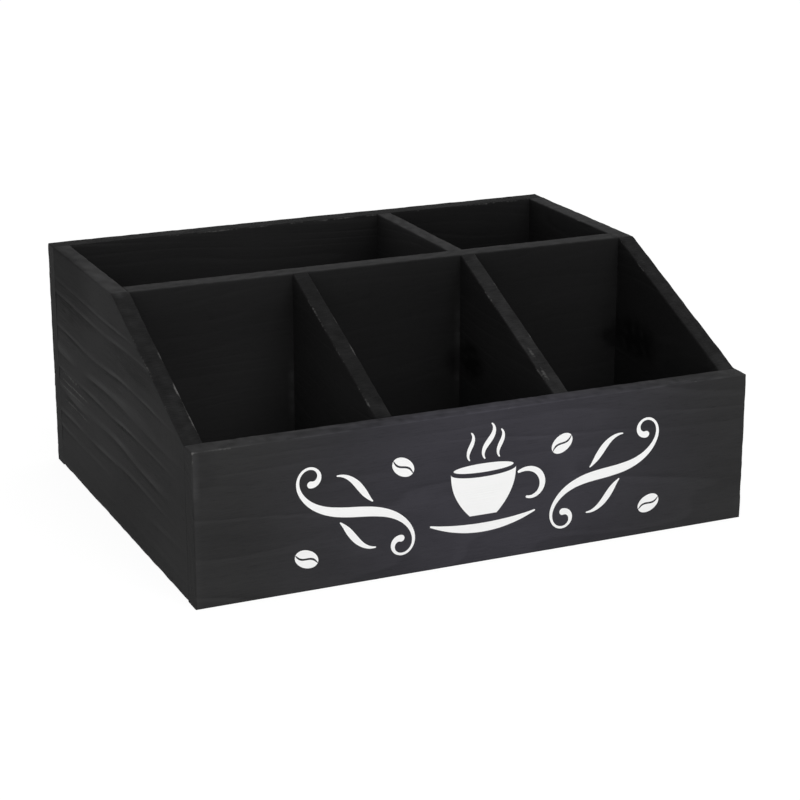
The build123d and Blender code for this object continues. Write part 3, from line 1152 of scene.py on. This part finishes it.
pick(motif, "EDIT")
bpy.ops.mesh.select_all(action="SELECT")
bpy.ops.mesh.remove_doubles(threshold=DOUBLES)
reach_x, _, reach_z = np.abs([vertex.co for vertex in bmesh.from_edit_mesh(motif.data).verts]).max(axis=0)
for place in np.arange(-reach_x, reach_x, PAINT_GRID_X):
    cut(motif, (place, 0, 0), (1, 0, 0))
for place in np.arange(0, reach_z, PAINT_GRID_Z):
    cut(motif, (0, 0, place), (0, 0, 1))
bpy.ops.mesh.select_all(action="SELECT")
bpy.ops.mesh.normals_make_consistent(inside=False)
bpy.ops.object.mode_set(mode="OBJECT")
print("cut paint has", len(motif.data.polygons), "faces")

# %% Lay the paint on the board
PAINT_FILM = 0.07 * MM

places = read(motif.data, "co")
in_front = places[:, Y] < front_y + PAINT_DEPTH / 2
straight_in = np.zeros_like(places)
straight_in[:, Y] = 1
ring, figure = rings(places, FRONT_TREE), figure_shown(places, FRONT_TREE)
far_from_edges = np.zeros(len(places))
follows = brush(places, straight_in, ring, figure, far_from_edges, FRONT_TREE)
follows[:, Y] -= PAINT_FILM
places[in_front] = follows[in_front]
motif.data.vertices.foreach_set("co", places.astype(np.float32).ravel())
motif.data.update()
print("paint's thickness over the wood:", PAINT_FILM / MM, "mm,", len(places), "points")

# %% [markdown]
# ### White paint
#
# The paint is matt and covers well. It is still a little uneven, where the brush left less of it, and
# the fibres of the wood show through as a fine bump. So it takes the fibres' noise and a broad mottle.

# %% Paint it white
PAINT_THIN, PAINT_FULL = (0.85, 0.85, 0.845, 1), (0.90, 0.90, 0.895, 1)
PAINT_ROUGHNESS, PAINT_ROUGHER = 0.45, 0.12

white, nodes, shader = new_material("white_paint")
mottle = stretched_noise(nodes, sizes=(60, 20, 12))
finish(
    nodes, shader, mix_colours(nodes, mottle, PAINT_THIN, PAINT_FULL),
    roughness=maths(nodes, "MULTIPLY_ADD", mottle, PAINT_ROUGHER, PAINT_ROUGHNESS), shine=0.2,
    Height=stretched_noise(nodes, along(X, FIBRE_SIZE), detail=4), Distance=0.05 * MM, Strength=0.4,
)
motif.data.materials.append(white)
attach(motif, "root")
print("paint on", motif.name)

# %% [markdown]
# ## The nails
#
# Thin nails hold the boards, besides the glue. Their heads lie sunk under the stain, so the nails of
# the CAD model stay, and only get their steel. A very fine noise makes the drawn wire a little uneven.

# %% Bright steel
STEEL_DARK, STEEL_LIGHT = (0.42, 0.42, 0.43, 1), (0.62, 0.62, 0.63, 1)
STEEL_ROUGHNESS, STEEL_ROUGHER = 0.25, 0.2

steel, nodes, shader = new_material("nail_steel")
drawn = stretched_noise(nodes, sizes=(0.3, 0.3, 0.3))
colour = mix_colours(nodes, drawn, STEEL_DARK, STEEL_LIGHT)
finish(nodes, shader, colour, roughness=maths(nodes, "MULTIPLY_ADD", drawn, STEEL_ROUGHER, STEEL_ROUGHNESS))
shader.inputs["Metallic"].default_value = 1.0
for name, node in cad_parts.items():
    if name.endswith("_brads"):
        node.data.materials.clear()
        node.data.materials.append(steel)
        print("steel on", name)

# %% [markdown]
# ## A white studio
#
# The caddy was photographed on white. A floor and a world as bright as that would also light it from
# below and behind, and turn its boards grey. So both ask what kind of ray looks at them: the camera and
# reflections see white, while the light that falls on the boards is plain and dimmer. The floor glows
# only in part, and the rest of it is paper, which keeps the caddy's shadow.

# %% Floor and world
PAPER, WHITE = (0.9, 0.9, 0.9, 1), (1, 1, 1, 1)
GLOW, GLOW_SHARE = 1.13, 0.80
WORLD_LIGHT, WORLD_SEEN = 0.60, 1.0

bpy.ops.mesh.primitive_plane_add(size=12)
floor = bpy.context.object
floor.name = "floor"


def seen_white(nodes):
    """1 for the rays that see a white studio: from the camera, by reflection and through glass."""
    rays = add_node(nodes, "LightPath").outputs
    camera_or_glossy = maths(nodes, "MAXIMUM", rays["Is Camera Ray"], rays["Is Glossy Ray"])
    return maths(nodes, "MAXIMUM", camera_or_glossy, rays["Is Transmission Ray"])


floor_material, nodes, shader = new_material("white_floor")
nodes.nodes.remove(shader)
paper = add_node(nodes, "BsdfDiffuse", {"Color": PAPER}).outputs[0]
glow = add_node(nodes, "Emission", {"Color": WHITE, "Strength": GLOW}).outputs[0]
mostly_glow = add_node(nodes, "MixShader", {0: GLOW_SHARE, 1: paper, 2: glow}).outputs[0]
either = add_node(nodes, "MixShader", {0: seen_white(nodes), 1: paper, 2: mostly_glow}).outputs[0]
nodes.links.new(either, nodes.nodes["Material Output"].inputs["Surface"])
floor.data.materials.append(floor_material)

world = bpy.data.worlds.new("studio")
bpy.context.scene.world = world
world.use_nodes = True
nodes = world.node_tree
light = {"Value": seen_white(nodes), "To Min": WORLD_LIGHT, "To Max": WORLD_SEEN}
nodes.links.new(add_node(nodes, "MapRange", light).outputs[0], nodes.nodes["Background"].inputs["Strength"])
nodes.nodes["Background"].inputs["Color"].default_value = WHITE
print("the floor glows at", GLOW, "and the world gives", WORLD_LIGHT, "of white")

# %% [markdown]
# ## Two soft lamps
#
# A large soft lamp in front, a little to the right, makes the front board the lightest and lets the
# compartments go dark, together with the light and shade painted on the boards. A weaker one at the
# left falls along the left side, and brings out its streaks.

# %% Lamps
LAMP_TARGET = (0, 0, 0.06)


def soft_lamp(name, place, power):
    """A square lamp that faces the caddy."""
    lamp_data = bpy.data.lights.new(name, "AREA")
    lamp_data.size = 1.0
    lamp_data.energy = power
    lamp = bpy.data.objects.new(name, lamp_data)
    lamp.location = place
    lamp.rotation_euler = (Vector(LAMP_TARGET) - Vector(place)).to_track_quat("-Z", "Y").to_euler()
    bpy.context.collection.objects.link(lamp)
    print(name, "gives", power, "W")


soft_lamp("front_lamp", place=(0.2, -1.7, 0.8), power=11)
soft_lamp("left_lamp", place=(-1.2, -1.5, 0.5), power=5)
